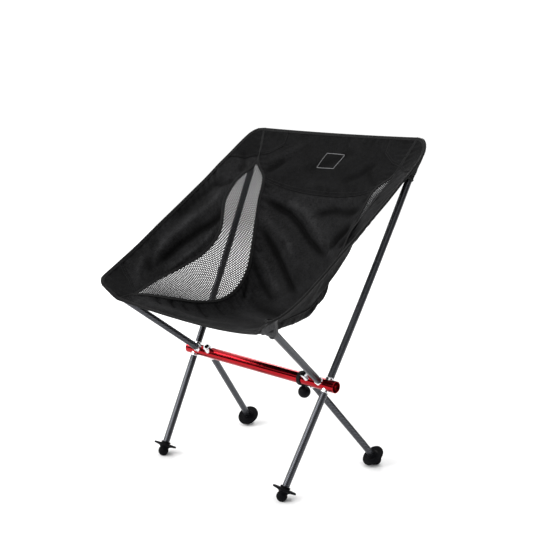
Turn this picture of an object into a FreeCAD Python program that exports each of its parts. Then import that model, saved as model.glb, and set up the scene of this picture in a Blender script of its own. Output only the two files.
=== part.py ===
"""Ultralight backpacking chair: a crossing tube frame on one hub, with a sling seat.

Millimetres, +Z up. X runs along the hub, +X is the sitter's left. The seat opens towards -Y.
The origin is on the ground, under the middle of the chair's box.
"""
import FreeCAD, Part
import math
import os

os.makedirs("parts", exist_ok=True)

V = FreeCAD.Vector
SIDES = (("left", -1), ("right", 1))

# ---------------------------------------------------------------- hub
HUB_HEIGHT = 197.0
HUB_LENGTH = 398.0
HUB_RADIUS = 11.2
HUB_WALL = 1.3
HUB_EDGE = 0.4

# ---------------------------------------------------------------- poles, ferrules and legs
POLE_RADIUS = 6.7
POLE_WALL = 0.9
FERRULE_CLEARANCE = 0.05
FERRULE_WALL = 1.0
FERRULE_ENGAGEMENT = 38.0
HUB_HOLE_CLEARANCE = 0.05
COLLAR_RADIUS = 8.0
COLLAR_HEIGHT = 3.5
COLLAR_EDGE = 0.8
STUB_HEIGHT = 10.5
STUB_RADIUS = 7.8

MAIN_STATION = HUB_LENGTH / 2 - 21.0        # where each axis crosses the hub, from its middle
SEAT_STATION = MAIN_STATION - 16.0
REAR_STATION = MAIN_STATION - 43.0
MAIN_DIRECTION = (0.068, 0.490, 0.869)      # up the back pole, right-hand side
SEAT_DIRECTION = (0.2004, -0.7699, 0.6059)
REAR_DIRECTION = (0.1623, 0.6237, -0.7646)  # down the rear leg

BACK_POLE_LENGTH = 476.0        # from the hub's axis to the tube's end
BACK_POLE_STRAIGHT = 56.0       # the part that its ferrule keeps straight
BACK_POLE_BOW = 6700.0          # radius of the bow that the stretched seat gives it
BACK_POLE_JOINT = 246.0
JOINER_LENGTH = 76.0
SECTION_GAP = 0.3
SEAT_POLE_LENGTH = 233.0

CAP_HEAD_RADIUS = 6.4
CAP_HEAD_LENGTH = 9.0
CAP_SHANK_LENGTH = 14.0
CAP_DOME = 0.55                 # rounding, as a share of the head's radius

# ---------------------------------------------------------------- feet
FLANGE_RADIUS = 22.5
FLANGE_THICKNESS = 3.0
FOOT_COLLAR_RADIUS = 9.0
FOOT_COLLAR_HEIGHT = 7.5
FOOT_WAIST_RADIUS = 8.8
FOOT_BALL_RADIUS = 10.2
FOOT_FLAT = 0.8                 # how much of the ball the ground takes off
FOOT_BALL_DROP = 11.0           # ball's centre below the flange, along the axis
FOOT_LIP = 0.7                  # bead round the socket's mouth
DISH = 1.4                      # how far the flange's rim curls up
FOOT_CLEARANCE = 0.05
SOCKET_FLOOR = 2.5              # rubber between the flange's middle and the tube's end

# ---------------------------------------------------------------- shock cord
CORD_RADIUS = 1.3
KNOT_RADIUS = 2.9
KNOT_LENGTH = 6.0
KNOT_ROUNDING = 0.6             # as a share of the knot's radius
KNOT_CLEARANCE = 0.4
CORD_END_GAP = 1.0
STUB_KNOT_DEPTH = 4.0           # of the rear leg's knot inside its open stub

# ---------------------------------------------------------------- elastic tie on the hub
TIE_STATION = REAR_STATION - 19.5
TIE_WIDTH = 7.5
TIE_THICKNESS = 2.6
TIE_CLEARANCE = 0.05
TIE_BALL_RADIUS = 12.0
TIE_BALL_OFFSET = (-0.5, 7.0, -28.0)        # from the tie's middle on the hub's axis
TIE_NECK_RADIUS = 2.0
TIE_GAP = 0.3

# ---------------------------------------------------------------- sling seat
FABRIC = 1.2
HEM_THICKNESS = 2.4
HEM_WIDTH = 7.0
SEAM_GAP = 0.4
CROSS_SEAM = 11.0 / 14.0        # where the headrest is sewn on, along the rails
MESH_START = 1.25 / 14.0
MESH_END = 11.8 / 14.0
MESH_GAP = 0.025                # between the net and its neighbours, in the across measure
FRONT_TAPE = 0.02               # inner edges of the front and top tapes, along the rails
TOP_TAPE = 0.985
EDGE_GAP = 0.003                # between a panel's end and the tape or the next panel
LABEL_HALF_WIDTH = 22.5
LABEL_ROWS = (0.868, 0.9175)
LABEL_SLANT = 1.6               # sideways lean of its side edges, across per along
LABEL_THICKNESS = 0.5
POCKET_CLEARANCE = 0.4
POCKET_WALL = 1.2
POCKET_COVER = 60.0             # depth of cloth side that a pocket's sleeve is cut away from
BACK_POCKET = (52.0, 0.8, 1.0)  # length, and the rows of the sling that it hangs under
FRONT_POCKET = (34.0, 0.0, 0.16)

# Four rails of the right-hand half, front hem first, top hem last. Y is from the hub's axis.
CENTRE_RAIL = [
    (0, -152, 308), (0, -130, 301), (0, -102, 294), (0, -70, 288), (0, -35, 284),
    (0, 5, 282), (0, 47, 286), (0, 85, 305), (0, 118, 350), (0, 145, 410),
    (0, 165, 468), (0, 179, 516), (0, 200, 560), (0, 221, 600), (0, 240, 634)]
PANEL_RAIL = [
    (186, -195, 332), (178, -157, 336), (150, -130, 334), (122, -104, 328), (105, -62, 318),
    (97, -8, 314), (98, 38, 328), (103, 74, 360), (112, 97, 400), (126, 122, 448),
    (138, 145, 495), (147, 168, 538), (178, 184, 566), (191, 207, 602), (202, 228, 637)]
WING_RAIL = [
    (188, -196, 333), (181, -158, 337), (190, -117, 346), (197, -79, 355), (191, -48, 365),
    (182, -18, 378), (174, 12, 394), (170, 40, 418), (166, 56, 444), (169, 68, 473),
    (179, 87, 500), (187, 128, 535), (183, 183, 568), (193, 207, 602), (204, 228, 637)]
HEM_RAIL = [
    (223, -207, 361), (236, -194, 367), (242, -155, 386), (242, -100, 418), (242, -50, 450),
    (242, -10, 475), (242, 25, 497), (242, 58, 518), (242, 85, 535), (242, 110, 552),
    (242, 130, 566), (242, 155, 582), (241, 182, 601), (236, 203, 618), (222, 222, 638)]
FRONT_TIP = (210.496, -186.314, 343.626)    # capped pole tips that the rails were laid round
BACK_TIP = (211.487, 225.552, 624.942)
SECTION_POWER = [(p, 0, 0) for p in (2, 2.2, 2.6, 3.4, 4.4, 5, 5.2, 4.8, 3.6, 2.8, 2.4, 2.1, 2, 2, 2)]
BUCKET_BULGE = 0.35             # sideways fullness of the seat's cross-sections


def unit(vector):
    """The vector's direction."""
    return V(vector).multiply(1.0 / V(vector).Length)


def hub_point(station, side):
    """Where an axis crosses the hub."""
    return V(side * station, 0, HUB_HEIGHT)


def direction(components, side):
    """A direction given for the right-hand side, mirrored for the left."""
    x, y, z = components
    return unit(V(side * x, y, z))


def rod(start, axis, near, far, radius):
    """A cylinder from near to far along an axis through start."""
    return Part.makeCylinder(radius, far - near, start + axis * near, axis)


def tube(start, axis, near, far, outer, inner):
    """A straight tube from near to far along an axis through start."""
    return rod(start, axis, near, far, outer).cut(rod(start, axis, near, far, inner))


def turned(profile, start, axis):
    """A solid turned from (radius, distance along the axis) points."""
    points = [V(r, 0, z) for r, z in profile]
    face = Part.Face(Part.makePolygon(points + points[:1]))
    solid = face.revolve(V(0, 0, 0), V(0, 0, 1), 360)
    solid.Placement = FreeCAD.Placement(start, FreeCAD.Rotation(V(0, 0, 1), axis))
    return solid


POLE_BORE = POLE_RADIUS - POLE_WALL
FERRULE_RADIUS = POLE_BORE - FERRULE_CLEARANCE
FERRULE_BORE = FERRULE_RADIUS - FERRULE_WALL
COLLAR_TOP = HUB_RADIUS + COLLAR_HEIGHT
FERRULE_REACH = COLLAR_TOP + FERRULE_ENGAGEMENT
SEAT_LINE_END = -(HUB_RADIUS - HUB_WALL) / 2    # seat ferrule and cord end inside the hub


# ---------------------------------------------------------------- hub and ferrules
def axes(side):
    """Start and direction of the three axes that cross the hub on one side."""
    return {
        "main": (hub_point(MAIN_STATION, side), direction(MAIN_DIRECTION, side)),
        "seat": (hub_point(SEAT_STATION, side), direction(SEAT_DIRECTION, side)),
        "rear": (hub_point(REAR_STATION, side), direction(REAR_DIRECTION, side))}


def hub_tube():
    """The tube that everything passes through, open at both ends."""
    end = V(-HUB_LENGTH / 2, 0, HUB_HEIGHT)
    along = V(1, 0, 0)
    solid = tube(end, along, 0, HUB_LENGTH, HUB_RADIUS, HUB_RADIUS - HUB_WALL)
    rims = [e for e in solid.Edges if abs(abs(e.CenterOfMass.x) - HUB_LENGTH / 2) < 0.01]
    solid = solid.makeChamfer(HUB_EDGE, rims)
    hole = FERRULE_RADIUS + HUB_HOLE_CLEARANCE
    for _, side in SIDES:
        lines = axes(side)
        for name in ("main", "rear"):
            start, axis = lines[name]
            solid = solid.cut(rod(start, axis, -2 * HUB_RADIUS, 2 * HUB_RADIUS, hole))
        start, axis = lines["seat"]
        solid = solid.cut(rod(start, axis, 0, 2 * HUB_RADIUS, hole))
    return solid


def collar(start, axis, top, radius):
    """A ring that sits on the hub, its foot cut to the hub's curve."""
    ring = rod(start, axis, 0, top, radius)
    edges = [e for e in ring.Edges if (e.CenterOfMass - start).dot(axis) > top - 0.01]
    ring = ring.makeChamfer(COLLAR_EDGE, edges)
    core = Part.makeCylinder(HUB_RADIUS, HUB_LENGTH, V(-HUB_LENGTH / 2, 0, HUB_HEIGHT), V(1, 0, 0))
    return ring.cut(core)


def ferrule(start, axis, near, far, collars):
    """A sleeve through the hub with a collar at each stated end."""
    solid = rod(start, axis, near, far, FERRULE_RADIUS)
    for sign, top, radius in collars:
        solid = solid.fuse(collar(start, axis * sign, top, radius))
    return solid.cut(rod(start, axis, near - 1, far + 1, FERRULE_BORE)).removeSplitter()


def main_ferrule(side):
    """Joins the back pole above the hub to the front leg below it."""
    start, axis = axes(side)["main"]
    ends = ((1, COLLAR_TOP, COLLAR_RADIUS), (-1, COLLAR_TOP, COLLAR_RADIUS))
    return ferrule(start, axis, -FERRULE_REACH, FERRULE_REACH, ends)


def seat_ferrule(side):
    """Carries the seat pole; it ends inside the hub."""
    start, axis = axes(side)["seat"]
    return ferrule(start, axis, SEAT_LINE_END, FERRULE_REACH, ((1, COLLAR_TOP, COLLAR_RADIUS),))


def rear_ferrule(side):
    """Carries the rear leg; its other end stands out of the hub as an open stub."""
    start, axis = axes(side)["rear"]
    stub = HUB_RADIUS + STUB_HEIGHT
    ends = ((1, COLLAR_TOP, COLLAR_RADIUS), (-1, stub, STUB_RADIUS))
    return ferrule(start, axis, -stub, FERRULE_REACH, ends)


# ---------------------------------------------------------------- back poles
def bow_frame(side):
    """Start, centre and turning axis of the back pole's bow, which bends it towards the seat."""
    start, axis = axes(side)["main"]
    forward = V(0, -1, 0)
    inward = unit(forward - axis * forward.dot(axis))
    begin = start + axis * BACK_POLE_STRAIGHT
    return begin, begin + inward * BACK_POLE_BOW, unit(axis.cross(inward))


def bow_point(side, distance):
    """A point on the bowed pole's axis and the pole's direction there."""
    begin, centre, spin = bow_frame(side)
    angle = math.degrees((distance - BACK_POLE_STRAIGHT) / BACK_POLE_BOW)
    turn = FreeCAD.Rotation(spin, angle)
    axis = axes(side)["main"][1]
    return centre + turn.multVec(begin - centre), turn.multVec(axis)


def bowed_tube(side, near, far, outer, inner):
    """A tube along the bow between two distances from the hub's axis."""
    start, axis = bow_point(side, near)
    _, centre, spin = bow_frame(side)
    ring = Part.Face(Part.Wire(Part.makeCircle(outer, start, axis)))
    if inner:
        ring = ring.cut(Part.Face(Part.Wire(Part.makeCircle(inner, start, axis))))
    angle = math.degrees((far - near) / BACK_POLE_BOW)
    return ring.revolve(centre, spin, angle)


def back_pole_lower(side):
    """Lower section: straight on its ferrule, then bowed up to the joint."""
    start, axis = axes(side)["main"]
    straight = tube(start, axis, COLLAR_TOP, BACK_POLE_STRAIGHT, POLE_RADIUS, POLE_BORE)
    bowed = bowed_tube(side, BACK_POLE_STRAIGHT, BACK_POLE_JOINT, POLE_RADIUS, POLE_BORE)
    return straight.fuse(bowed)


def back_pole_upper(side):
    """Upper section, up to the seat's corner pocket."""
    near = BACK_POLE_JOINT + SECTION_GAP
    return bowed_tube(side, near, BACK_POLE_LENGTH, POLE_RADIUS, POLE_BORE)


def back_pole_joiner(side):
    """Inner sleeve that joins the two sections."""
    half = JOINER_LENGTH / 2
    return bowed_tube(side, BACK_POLE_JOINT - half, BACK_POLE_JOINT + half,
                      FERRULE_RADIUS, FERRULE_BORE)


def seat_pole(side):
    """Short pole from the hub to the seat's front corner."""
    start, axis = axes(side)["seat"]
    return tube(start, axis, COLLAR_TOP, SEAT_POLE_LENGTH, POLE_RADIUS, POLE_BORE)


def pole_cap(start, axis):
    """Moulded end plug: a shank in the tube and a domed head that bears in the pocket."""
    shank = rod(start, axis, -CAP_SHANK_LENGTH, 0.01, FERRULE_RADIUS)
    head = rod(start, axis, 0, CAP_HEAD_LENGTH, CAP_HEAD_RADIUS)
    rim = [e for e in head.Edges if (e.CenterOfMass - start).dot(axis) > CAP_HEAD_LENGTH - 0.01]
    head = head.makeFillet(CAP_HEAD_RADIUS * CAP_DOME, rim)
    bore = rod(start, axis, -CAP_SHANK_LENGTH - 1, -CAP_SHANK_LENGTH + KNOT_LENGTH + 2,
               KNOT_RADIUS + KNOT_CLEARANCE)
    return shank.fuse(head).cut(bore).removeSplitter()


# ---------------------------------------------------------------- legs and feet
def leg_axes(side):
    """Start and outward direction of the front and rear leg."""
    lines = axes(side)
    start, axis = lines["main"]
    return {"front": (start, axis * -1), "rear": lines["rear"]}


def flange_distance(axis):
    """Distance along a leg's axis from the hub to its foot's flange."""
    ball_height = FOOT_BALL_RADIUS - FOOT_FLAT
    return (HUB_HEIGHT - ball_height) / -axis.z - FOOT_BALL_DROP


def leg_tube(start, axis):
    """Leg: slides on its ferrule up to the collar."""
    far = flange_distance(axis) - SOCKET_FLOOR
    return tube(start, axis, COLLAR_TOP, far, POLE_RADIUS, POLE_BORE)


def foot(start, axis):
    """Rubber foot: socket collar, thin dished flange against sinking, ball on the ground."""
    centre = start + axis * flange_distance(axis)
    half = FLANGE_THICKNESS / 2
    top = -FOOT_COLLAR_HEIGHT
    lip = FOOT_COLLAR_RADIUS + FOOT_LIP
    profile = [
        (0, top), (lip - FOOT_LIP, top), (lip, top + FOOT_LIP), (lip, top + 3 * FOOT_LIP),
        (FOOT_COLLAR_RADIUS, top + 4 * FOOT_LIP), (FOOT_COLLAR_RADIUS + FOOT_LIP, -half - 1.6),
        (FOOT_COLLAR_RADIUS + 3.5, -half - 0.4), (FLANGE_RADIUS - 2.0, -half - DISH),
        (FLANGE_RADIUS - 0.6, -half - DISH - 0.1), (FLANGE_RADIUS, -half - DISH + 0.5),
        (FLANGE_RADIUS, half - DISH - 0.2), (FLANGE_RADIUS - 0.7, half - DISH + 0.4),
        (FOOT_WAIST_RADIUS + 5.0, half + 0.2), (FOOT_WAIST_RADIUS + 1.6, half + 1.4),
        (FOOT_WAIST_RADIUS, half + 3.4), (0, half + 3.4)]
    body = turned(profile, centre, axis)
    neck = rod(centre, axis, 0, FOOT_BALL_DROP, FOOT_WAIST_RADIUS)
    ball = Part.makeSphere(FOOT_BALL_RADIUS, centre + axis * FOOT_BALL_DROP)
    solid = body.fuse([neck, ball])
    ground = Part.makeBox(200, 200, 100, V(centre.x - 100, centre.y - 100, -100))
    solid = solid.cut(ground)
    socket = rod(centre, axis, -FOOT_COLLAR_HEIGHT - 1, -SOCKET_FLOOR, POLE_RADIUS + FOOT_CLEARANCE)
    return solid.cut(socket).removeSplitter()


# ---------------------------------------------------------------- shock cord
def knot(start, axis, at):
    """An overhand knot, as a rounded barrel on the cord."""
    barrel = rod(start, axis, at, at + KNOT_LENGTH, KNOT_RADIUS)
    return barrel.makeFillet(KNOT_RADIUS * KNOT_ROUNDING, barrel.Edges)


def leg_cord(start, axis, near):
    """Shock cord of one leg, knotted at the foot's end of the tube."""
    far = flange_distance(axis) - SOCKET_FLOOR - KNOT_LENGTH - CORD_END_GAP
    return rod(start, axis, near, far + 1, CORD_RADIUS).fuse(knot(start, axis, far)).removeSplitter()


def rear_leg_cord(side):
    """It runs up through the ferrule and is knotted in the open stub."""
    start, axis = leg_axes(side)["rear"]
    top = -(HUB_RADIUS + STUB_HEIGHT) + STUB_KNOT_DEPTH
    far = flange_distance(axis) - SOCKET_FLOOR - KNOT_LENGTH - CORD_END_GAP
    line = rod(start, axis, top + 1, far + 1, CORD_RADIUS)
    return line.fuse([knot(start, axis, far), knot(start, axis, top)]).removeSplitter()


def front_leg_cord(side):
    """Lower half of the cord that goes on up the back pole."""
    start, axis = leg_axes(side)["front"]
    return leg_cord(start, axis, CORD_END_GAP / 2)


def back_pole_cord(side):
    """Upper half of the main cord, knotted in the back pole's end cap."""
    start, axis = axes(side)["main"]
    straight = rod(start, axis, CORD_END_GAP / 2, BACK_POLE_STRAIGHT, CORD_RADIUS)
    end = BACK_POLE_LENGTH - CAP_SHANK_LENGTH
    bowed = bowed_tube(side, BACK_POLE_STRAIGHT, end, CORD_RADIUS, 0)
    tip, tip_axis = bow_point(side, end)
    return straight.fuse([bowed, knot(tip, tip_axis, 0)]).removeSplitter()


def seat_pole_cord(side):
    """Cord of the seat pole, knotted inside the hub and in the end cap."""
    start, axis = axes(side)["seat"]
    far = SEAT_POLE_LENGTH - CAP_SHANK_LENGTH
    line = rod(start, axis, SEAT_LINE_END + 1, far + 1, CORD_RADIUS)
    return line.fuse([knot(start, axis, SEAT_LINE_END), knot(start, axis, far)]).removeSplitter()


# ---------------------------------------------------------------- elastic tie
def tie_band():
    """Elastic band gripping the hub."""
    start = V(TIE_STATION - TIE_WIDTH / 2, 0, HUB_HEIGHT)
    inner = HUB_RADIUS + TIE_CLEARANCE
    band = tube(start, V(1, 0, 0), 0, TIE_WIDTH, inner + TIE_THICKNESS, inner)
    edges = [e for e in band.Edges if abs(e.BoundBox.ZLength - 2 * (inner + TIE_THICKNESS)) < 0.01]
    return band.makeFillet(TIE_THICKNESS * 0.4, edges)


def tie_ball():
    """Ball toggle and the doubled cord that joins it to the band."""
    middle = V(TIE_STATION, 0, HUB_HEIGHT)
    centre = middle + V(*TIE_BALL_OFFSET)
    ball = Part.makeSphere(TIE_BALL_RADIUS, centre)
    axis = unit(V(0, centre.y - middle.y, centre.z - middle.z))
    reach = (centre - middle).dot(axis)
    necks = [rod(middle + V(x, 0, 0), axis, 0, reach, TIE_NECK_RADIUS)
             for x in (-TIE_WIDTH / 2 + TIE_NECK_RADIUS - 0.5, TIE_WIDTH / 2 - TIE_NECK_RADIUS + 0.5)]
    solid = ball.fuse(necks)
    clear = HUB_RADIUS + TIE_CLEARANCE + TIE_THICKNESS + TIE_GAP
    return solid.cut(rod(middle, V(1, 0, 0), -30, 30, clear)).removeSplitter()


# ---------------------------------------------------------------- sling surface
def on_rail(points, along):
    """A point on the smooth line through a rail's points, with along from 0 to 1."""
    last = len(points) - 1
    place = min(max(along, 0.0), 1.0) * last
    i = min(int(place), last - 1)
    t = place - i
    p0, p1, p2, p3 = (points[min(max(k, 0), last)] for k in (i - 1, i, i + 1, i + 2))
    rise = (2 * t ** 3 - 3 * t ** 2 + 1, -2 * t ** 3 + 3 * t ** 2)
    slope = (t ** 3 - 2 * t ** 2 + t, t ** 3 - t ** 2)
    return V(*(rise[0] * b + rise[1] * c + slope[0] * (c - a) / 2 + slope[1] * (d - b) / 2
               for a, b, c, d in zip(p0, p1, p2, p3)))


def pole_tips():
    """Tips of the right-hand capped poles: the seat pole's, then the back pole's."""
    start, axis = axes(1)["seat"]
    back, back_axis = bow_point(1, BACK_POLE_LENGTH)
    return (start + axis * (SEAT_POLE_LENGTH + CAP_HEAD_LENGTH),
            back + back_axis * CAP_HEAD_LENGTH)


def fitted(rail):
    """A rail's points moved with the pole tips: turned and scaled in Y and Z, stretched in X."""
    front, back = pole_tips()
    base = complex(FRONT_TIP[1], FRONT_TIP[2])
    old = complex(BACK_TIP[1], BACK_TIP[2]) - base
    turn = complex(back.y - front.y, back.z - front.z) / old
    points = []
    for x, y, z in rail:
        share = ((complex(y, z) - base) / old).real
        old_width = FRONT_TIP[0] + (BACK_TIP[0] - FRONT_TIP[0]) * share
        width = front.x + (back.x - front.x) * share
        place = complex(front.y, front.z) + (complex(y, z) - base) * turn
        points.append((x * width / old_width, place.real, place.imag))
    return points


RAILS = [fitted(rail) for rail in (CENTRE_RAIL, PANEL_RAIL, WING_RAIL, HEM_RAIL)]


def sling_point(across, along):
    """The sling's middle surface: across is 0 at the middle, 1 at the panel's side seam,
    2 at the wing's seam and 3 at the hem, negative on the left; along is 0 at the front."""
    side = -1 if across < 0 else 1
    reach = abs(across)
    if reach <= 1:
        centre, edge = on_rail(RAILS[0], along), on_rail(RAILS[1], along)
        weight = reach ** on_rail(SECTION_POWER, along).x
        fullness = BUCKET_BULGE * math.sin(math.pi * min(max(along, 0), 1))
        spread = reach + fullness * reach * (1 - reach) ** 2 * (1 + reach)
        point = centre + (edge - centre) * weight
        return V(side * edge.x * spread, point.y, point.z)
    index = 1 if reach <= 2 else 2
    low, high = on_rail(RAILS[index], along), on_rail(RAILS[index + 1], along)
    point = low + (high - low) * (reach - index)
    return V(side * point.x, point.y, point.z)


def sling_normal(across, along):
    """Unit normal of the sling, towards the sitter."""
    step = 0.004
    near, far = max(along - step, 0), min(along + step, 1)
    low, high = across - step, across + step
    du = sling_point(high, along) - sling_point(low, along)
    dv = sling_point(across, far) - sling_point(across, near)
    return unit(du.cross(dv))


def cloth_patch(side_a, side_b, columns, front, back, rows, thickness, lift=0.0):
    """A closed sheet between two lines across(along), or two constants, and two rows.
    Lift raises it off the sling's middle surface, towards the sitter."""
    layers = []
    for offset in (lift - thickness / 2, lift + thickness / 2):
        grid = []
        for i in range(rows):
            along = front + (back - front) * i / (rows - 1.0)
            first = side_a(along) if callable(side_a) else side_a
            last = side_b(along) if callable(side_b) else side_b
            row = []
            for j in range(columns):
                across = first + (last - first) * j / (columns - 1.0)
                row.append(sling_point(across, along) + sling_normal(across, along) * offset)
            grid.append(row)
        surface = Part.BSplineSurface()
        surface.interpolate(grid)
        layers.append(surface)
    faces = [layer.toShape() for layer in layers]
    borders = []
    for layer in layers:
        u0, u1, v0, v1 = layer.bounds()
        borders.append([layer.uIso(u0), layer.uIso(u1), layer.vIso(v0), layer.vIso(v1)])
    for low, high in zip(*borders):
        faces.append(Part.makeRuledSurface(low.toShape(), high.toShape()))
    shell = Part.makeShell(faces)
    shell.sewShape(0.01)
    solid = Part.makeSolid(shell)
    if solid.Volume < 0:
        solid.reverse()
    return solid


# ---------------------------------------------------------------- sling pieces
def sling_length(first, last, along):
    """Width of a strip of the sling at one row."""
    return (sling_point(last, along) - sling_point(first, along)).Length


def hem_start(along):
    """Where the side hem's tape begins, in the across measure."""
    return 3 - HEM_WIDTH / sling_length(2, 3, along)


def beside_hem(along):
    """The wing's cut edge, just inside the tape."""
    return 3 - (HEM_WIDTH + SEAM_GAP) / sling_length(2, 3, along)


def inside_panel_seam(along):
    """The centre panel's cut edge, just inside its side seam."""
    return 1 - SEAM_GAP / (2 * on_rail(RAILS[1], along).x)


def inside_panel_seam_left(along):
    """The same edge on the left."""
    return -inside_panel_seam(along)


def mirrored(solid):
    """The left-hand copy of a right-hand piece."""
    return solid.mirror(V(0, 0, 0), V(1, 0, 0))


def seat_panel():
    """Centre panel: the seat and the lower back in one piece."""
    return cloth_patch(inside_panel_seam_left, inside_panel_seam, 31,
                       FRONT_TAPE + EDGE_GAP, CROSS_SEAM - EDGE_GAP, 45, FABRIC)


def headrest_panel():
    """Top of the back, sewn on at the cross seam."""
    return cloth_patch(inside_panel_seam_left, inside_panel_seam, 25,
                       CROSS_SEAM + EDGE_GAP, TOP_TAPE - EDGE_GAP, 13, FABRIC)


def side_mesh():
    """Open net between the centre panel and the wing."""
    return cloth_patch(1 + MESH_GAP, 2 - MESH_GAP, 9, MESH_START, MESH_END, 45, FABRIC)


def side_wing():
    """Solid cloth between the net and the side hem, corner to corner."""
    return cloth_patch(2.0, beside_hem, 9, FRONT_TAPE + EDGE_GAP, TOP_TAPE - EDGE_GAP, 49, FABRIC)


def hem_tape():
    """Folded tape round the whole edge: front, top and both sides."""
    pieces = []
    for first_row, last_row in ((0, FRONT_TAPE), (TOP_TAPE, 1)):
        corner = cloth_patch(2, 3, 13, first_row, last_row, 4, HEM_THICKNESS)
        pieces += [cloth_patch(-1, 1, 31, first_row, last_row, 4, HEM_THICKNESS),
                   corner, mirrored(corner)]
    side = cloth_patch(hem_start, 3, 4, FRONT_TAPE + EDGE_GAP, TOP_TAPE - EDGE_GAP, 49, HEM_THICKNESS)
    return Part.makeCompound(pieces + [side, mirrored(side)])


def label_edge(sign):
    """One slanted side edge of the label, in the across measure."""
    middle = (LABEL_ROWS[0] + LABEL_ROWS[1]) / 2
    half = LABEL_HALF_WIDTH / sling_point(1, middle).x
    return lambda along: sign * half + LABEL_SLANT * (along - middle)


def label_patch():
    """Plain woven patch in the middle of the headrest."""
    lift = FABRIC / 2 + SEAM_GAP + LABEL_THICKNESS / 2
    return cloth_patch(label_edge(-1), label_edge(1), 5, LABEL_ROWS[0], LABEL_ROWS[1], 5,
                       LABEL_THICKNESS, lift)


def pocket(tip, axis, size):
    """Sleeve under the sling's corner that takes a pole's capped end."""
    length, first_row, last_row = size
    inner = max(CAP_HEAD_RADIUS, POLE_RADIUS) + POCKET_CLEARANCE
    outer = inner + POCKET_WALL
    sleeve = rod(tip, axis, -length, POCKET_CLEARANCE + POCKET_WALL, outer)
    rim = [e for e in sleeve.Edges if (e.CenterOfMass - tip).dot(axis) > 0]
    sleeve = sleeve.makeFillet(outer / 2, rim)
    sleeve = sleeve.cut(rod(tip, axis, -length - 1, POCKET_CLEARANCE, inner))
    below = HEM_THICKNESS / 2 + SEAM_GAP
    cover = cloth_patch(1.5, 3.0, 13, first_row, last_row, 15, POCKET_COVER, POCKET_COVER / 2 - below)
    return max(sleeve.cut(cover).Solids, key=lambda solid: solid.Volume)


# ---------------------------------------------------------------- the whole chair
def build_frame(nodes):
    """Hub, ferrules, poles and their cords."""
    nodes["hub_tube"] = hub_tube()
    for name, side in SIDES:
        nodes["main_ferrule_" + name] = main_ferrule(side)
        nodes["seat_ferrule_" + name] = seat_ferrule(side)
        nodes["rear_ferrule_" + name] = rear_ferrule(side)
        nodes["back_pole_lower_" + name] = back_pole_lower(side)
        nodes["back_pole_upper_" + name] = back_pole_upper(side)
        nodes["back_pole_joiner_" + name] = back_pole_joiner(side)
        nodes["seat_pole_" + name] = seat_pole(side)
        nodes["back_pole_cap_" + name] = pole_cap(*bow_point(side, BACK_POLE_LENGTH))
        start, axis = axes(side)["seat"]
        nodes["seat_pole_cap_" + name] = pole_cap(start + axis * SEAT_POLE_LENGTH, axis)
        nodes["back_pole_cord_" + name] = back_pole_cord(side)
        nodes["seat_pole_cord_" + name] = seat_pole_cord(side)


def build_legs(nodes):
    """Four legs, each with its foot and its length of cord."""
    for name, side in SIDES:
        for place, (start, axis) in leg_axes(side).items():
            nodes[place + "_leg_" + name] = leg_tube(start, axis)
            nodes[place + "_foot_" + name] = foot(start, axis)
        nodes["front_leg_cord_" + name] = front_leg_cord(side)
        nodes["rear_leg_cord_" + name] = rear_leg_cord(side)


def build_sling(nodes):
    """Sling seat with its net sides, tape, corner pockets and patch."""
    nodes["seat_panel"] = seat_panel()
    nodes["headrest_panel"] = headrest_panel()
    nodes["hem_tape"] = hem_tape()
    nodes["label_patch"] = label_patch()
    front_tip, back_tip = pole_tips()
    back_axis = bow_point(1, BACK_POLE_LENGTH)[1]
    pieces = {
        "side_mesh": side_mesh(),
        "side_wing": side_wing(),
        "back_pocket": pocket(back_tip, back_axis, BACK_POCKET),
        "front_pocket": pocket(front_tip, axes(1)["seat"][1], FRONT_POCKET)}
    for name, solid in pieces.items():
        nodes[name + "_right"] = solid
        nodes[name + "_left"] = mirrored(solid)


def build():
    """Every node, with the origin under the middle of the box."""
    nodes = {}
    build_frame(nodes)
    build_legs(nodes)
    build_sling(nodes)
    nodes["tie_band"] = tie_band()
    nodes["tie_ball"] = tie_ball()
    box = Part.makeCompound(list(nodes.values())).optimalBoundingBox(False)
    shift = V(0, -(box.YMin + box.YMax) / 2, -box.ZMin)
    for solid in nodes.values():
        solid.translate(shift)
    print("hub axis at y = %.3f, ground shift %.3f" % (shift.y, shift.z))
    return nodes


for node, shape in build().items():
    shape.exportStep("parts/" + node + ".step")
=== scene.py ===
"""Looks of the ultralight backpacking chair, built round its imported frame.

Metres, +Z up, +X the sitter's left. The seat opens towards -Y.
"""

import math

import bpy
import numpy as np
from mathutils import Matrix, Vector


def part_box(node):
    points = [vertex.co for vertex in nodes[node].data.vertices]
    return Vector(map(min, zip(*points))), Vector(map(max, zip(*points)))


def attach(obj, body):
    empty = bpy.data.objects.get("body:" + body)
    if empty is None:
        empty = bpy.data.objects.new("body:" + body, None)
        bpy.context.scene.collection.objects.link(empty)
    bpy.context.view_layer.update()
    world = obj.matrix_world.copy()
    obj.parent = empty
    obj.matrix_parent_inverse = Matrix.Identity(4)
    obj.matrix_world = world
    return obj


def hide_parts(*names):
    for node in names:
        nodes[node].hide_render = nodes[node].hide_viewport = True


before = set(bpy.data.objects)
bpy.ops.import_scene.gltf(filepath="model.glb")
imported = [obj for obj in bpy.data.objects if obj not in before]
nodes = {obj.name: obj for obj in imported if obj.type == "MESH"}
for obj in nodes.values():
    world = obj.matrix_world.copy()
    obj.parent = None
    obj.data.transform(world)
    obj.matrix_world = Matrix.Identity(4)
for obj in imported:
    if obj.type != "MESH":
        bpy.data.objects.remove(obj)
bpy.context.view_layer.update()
MM = 0.001

low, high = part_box("hub_tube")
HUB = np.array((low + high) / 2)

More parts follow.
